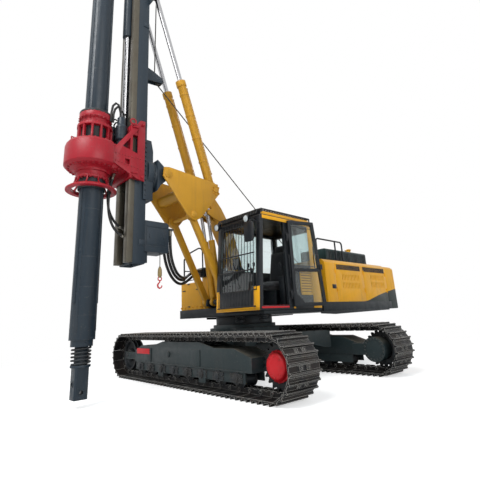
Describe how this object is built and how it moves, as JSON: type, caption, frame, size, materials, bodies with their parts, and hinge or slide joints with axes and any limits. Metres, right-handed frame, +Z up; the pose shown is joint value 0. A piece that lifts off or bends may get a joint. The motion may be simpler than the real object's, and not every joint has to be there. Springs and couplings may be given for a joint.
{
  "type": "crawler pile drilling rig",
  "caption": "Hydraulic pile drilling rig on an excavator-type crawler base, with a mast on a luffing parallel linkage, a sliding rotary head and a kelly bar.",
  "frame": {"origin": "on the ground under the slew centre", "axes": "+X towards the mast side of the upper machine, +Y towards its cab side, +Z up along the mast"},
  "size_m": [7.579, 5.3406, 12.96],
  "materials": {
    "track_steel": "worn, dusty",
    "frame_paint": "satin",
    "deck_paint": "satin",
    "yellow_paint": "gloss",
    "gold_paint": "gloss",
    "red_paint": "gloss",
    "slate_paint": "satin",
    "bare_steel": "machined",
    "chrome": "polished",
    "black_paint": "satin",
    "teal_paint": "satin",
    "grey_paint": "satin",
    "rubber": "moulded",
    "glass": "clear",
    "seat_cover": "woven",
    "dark_steel": "as cast"
  },
  "bodies": {
    "undercarriage": {"track_left": "track_steel", "track_right": "track_steel", "track_frames": "frame_paint", "drive_covers": "red_paint", "track_rollers": "dark_steel", "car_body": "frame_paint", "slew_ring": "dark_steel"},
    "upper": {"deck": "deck_paint", "linkage_stand": "deck_paint", "counterweight": "grey_paint", "engine_housing": "yellow_paint", "right_housing": "yellow_paint", "engine_hood": "teal_paint", "engine_block": "dark_steel", "tool_box": "yellow_paint", "fuel_tank": "deck_paint", "exhaust": "dark_steel", "handrails": "black_paint", "winch_frame": "deck_paint", "cab_shell": "black_paint", "cab_roof": "yellow_paint", "cab_seat": "seat_cover", "cab_glass": "glass", "cab_guard": "black_paint", "mast_hose_near": "rubber", "mast_hose_middle": "rubber", "mast_hose_far": "rubber"},
    "winch": {"winch_drum": "dark_steel"},
    "door": {"cab_door": "black_paint", "door_glass": "glass"},
    "links": {"support_links": "gold_paint"},
    "boom": {"boom": "gold_paint"},
    "luff_barrels": {"luff_barrels": "gold_paint"},
    "luff_rods": {"luff_rods": "chrome"},
    "mast_frame": {"mast_frame": "gold_paint"},
    "tilt_yokes": {"tilt_yokes": "gold_paint"},
    "tilt_barrels": {"tilt_barrels": "gold_paint"},
    "tilt_rods": {"tilt_rods": "chrome"},
    "cradle": {"mast_cradle": "slate_paint"},
    "mast": {"mast_mount": "slate_paint", "mast_beam": "slate_paint", "mast_rails": "bare_steel", "mast_brackets": "slate_paint", "mast_head": "slate_paint", "feed_barrel": "slate_paint"},
    "rope_sheave": {"rope_sheave": "dark_steel"},
    "front_sheave": {"front_sheave": "dark_steel"},
    "rear_sheave": {"rear_sheave": "dark_steel"},
    "rotary_head": {"feed_rod": "chrome", "head_bracket": "red_paint", "head_case": "red_paint", "head_cage": "red_paint", "head_bell": "red_paint", "head_motors": "dark_steel", "head_hose": "rubber"},
    "drive_sleeve": {"drive_sleeve": "dark_steel"},
    "kelly": {"kelly_tube": "slate_paint", "kelly_stub": "slate_paint", "kelly_spring": "slate_paint", "kelly_swivel": "dark_steel"}
  },
  "joints": [
    {"name": "slew", "type": "hinge", "parent": "undercarriage", "child": "upper", "pos_m": [0, 0, 1.124], "axis": [0, 0, 1], "continuous": true},
    {"name": "winch_spin", "type": "hinge", "parent": "upper", "child": "winch", "pos_m": [-2.05, 0, 1.9], "axis": [0, 1, 0], "continuous": true},
    {"name": "door_swing", "type": "hinge", "parent": "upper", "child": "door", "pos_m": [0.24, 1.482, 2], "axis": [0, 0, 1], "range_deg": [-165, 0]},
    {"name": "link_lean", "type": "hinge", "parent": "upper", "child": "links", "pos_m": [0.7, 0, 1.4], "axis": [0, 1, 0], "range_deg": [-15, 25]},
    {"name": "boom_lean", "type": "hinge", "parent": "upper", "child": "boom", "pos_m": [0.16, 0, 1.975], "axis": [0, 1, 0], "range_deg": [-15, 25], "deforming": ["mast_hose_near", "mast_hose_middle", "mast_hose_far"]},
    {"name": "luff_barrel_turn", "type": "hinge", "parent": "upper", "child": "luff_barrels", "pos_m": [0.7, 0, 1.4], "axis": [0, 1, 0], "range_deg": [-11.02, 18.33]},
    {"name": "luff_rod_slide", "type": "slide", "parent": "luff_barrels", "child": "luff_rods", "axis": [0.1416, 0, 0.9899], "range_m": [-0.2817, 0.1694]},
    {"name": "mast_frame_level", "type": "hinge", "parent": "boom", "child": "mast_frame", "pos_m": [0.94, 0, 3.505], "axis": [0, 1, 0], "range_deg": [-25, 15]},
    {"name": "mast_rake", "type": "hinge", "parent": "mast_frame", "child": "cradle", "pos_m": [2.03, 0, 3.6], "axis": [0, 1, 0], "range_deg": [-15, 5], "deforming": ["mast_hose_near", "mast_hose_middle", "mast_hose_far"]},
    {"name": "tilt_yoke_turn", "type": "hinge", "parent": "mast_frame", "child": "tilt_yokes", "pos_m": [0.94, 0, 3.505], "axis": [0, 1, 0], "range_deg": [-13.77, 4.62]},
    {"name": "tilt_barrel_swing", "type": "hinge", "parent": "tilt_yokes", "child": "tilt_barrels", "pos_m": [0.94, 0, 3.505], "axis": [1, 0, 0], "range_deg": [-3.04, 3.04]},
    {"name": "tilt_rod_slide", "type": "slide", "parent": "tilt_barrels", "child": "tilt_rods", "axis": [0.3134, 0, 0.9496], "range_m": [-0.2711, 0.091]},
    {"name": "mast_side_tilt", "type": "hinge", "parent": "cradle", "child": "mast", "pos_m": [2.224, 0, 3.6], "axis": [1, 0, 0], "range_deg": [-3, 3], "deforming": ["mast_hose_near", "mast_hose_middle", "mast_hose_far"]},
    {"name": "rope_sheave_spin", "type": "hinge", "parent": "mast", "child": "rope_sheave", "pos_m": [2.021, 0, 5.7], "axis": [0, 1, 0], "continuous": true},
    {"name": "front_sheave_spin", "type": "hinge", "parent": "mast", "child": "front_sheave", "pos_m": [2.961, 0, 12.7], "axis": [0, 1, 0], "continuous": true},
    {"name": "rear_sheave_spin", "type": "hinge", "parent": "mast", "child": "rear_sheave", "pos_m": [2.3, 0, 12.7], "axis": [0, 1, 0], "continuous": true},
    {"name": "head_slide", "type": "slide", "parent": "mast", "child": "rotary_head", "axis": [0, 0, 1], "range_m": [-1.2, 1.5], "deforming": ["head_hose"]},
    {"name": "drive_spin", "type": "hinge", "parent": "rotary_head", "child": "drive_sleeve", "pos_m": [3.208, 0, 3.7], "axis": [0, 0, 1], "continuous": true},
    {"name": "kelly_slide", "type": "slide", "parent": "drive_sleeve", "child": "kelly", "axis": [0, 0, 1], "range_m": [-4.6, 1]}
  ],
  "couplings": [
    {"joint": "link_lean", "follows": "boom_lean", "ratio": 1},
    {"joint": "mast_frame_level", "follows": "boom_lean", "ratio": -1},
    {"joint": "luff_barrel_turn", "follows": "boom_lean", "ratio": 0.7311},
    {"joint": "luff_rod_slide", "follows": "boom_lean", "m_per_rad": -0.6434},
    {"joint": "tilt_yoke_turn", "follows": "mast_rake", "ratio": 0.9149},
    {"joint": "tilt_barrel_swing", "follows": "mast_side_tilt", "ratio": 0.9976},
    {"joint": "tilt_rod_slide", "follows": "mast_rake", "m_per_rad": 1.0317}
  ]
}
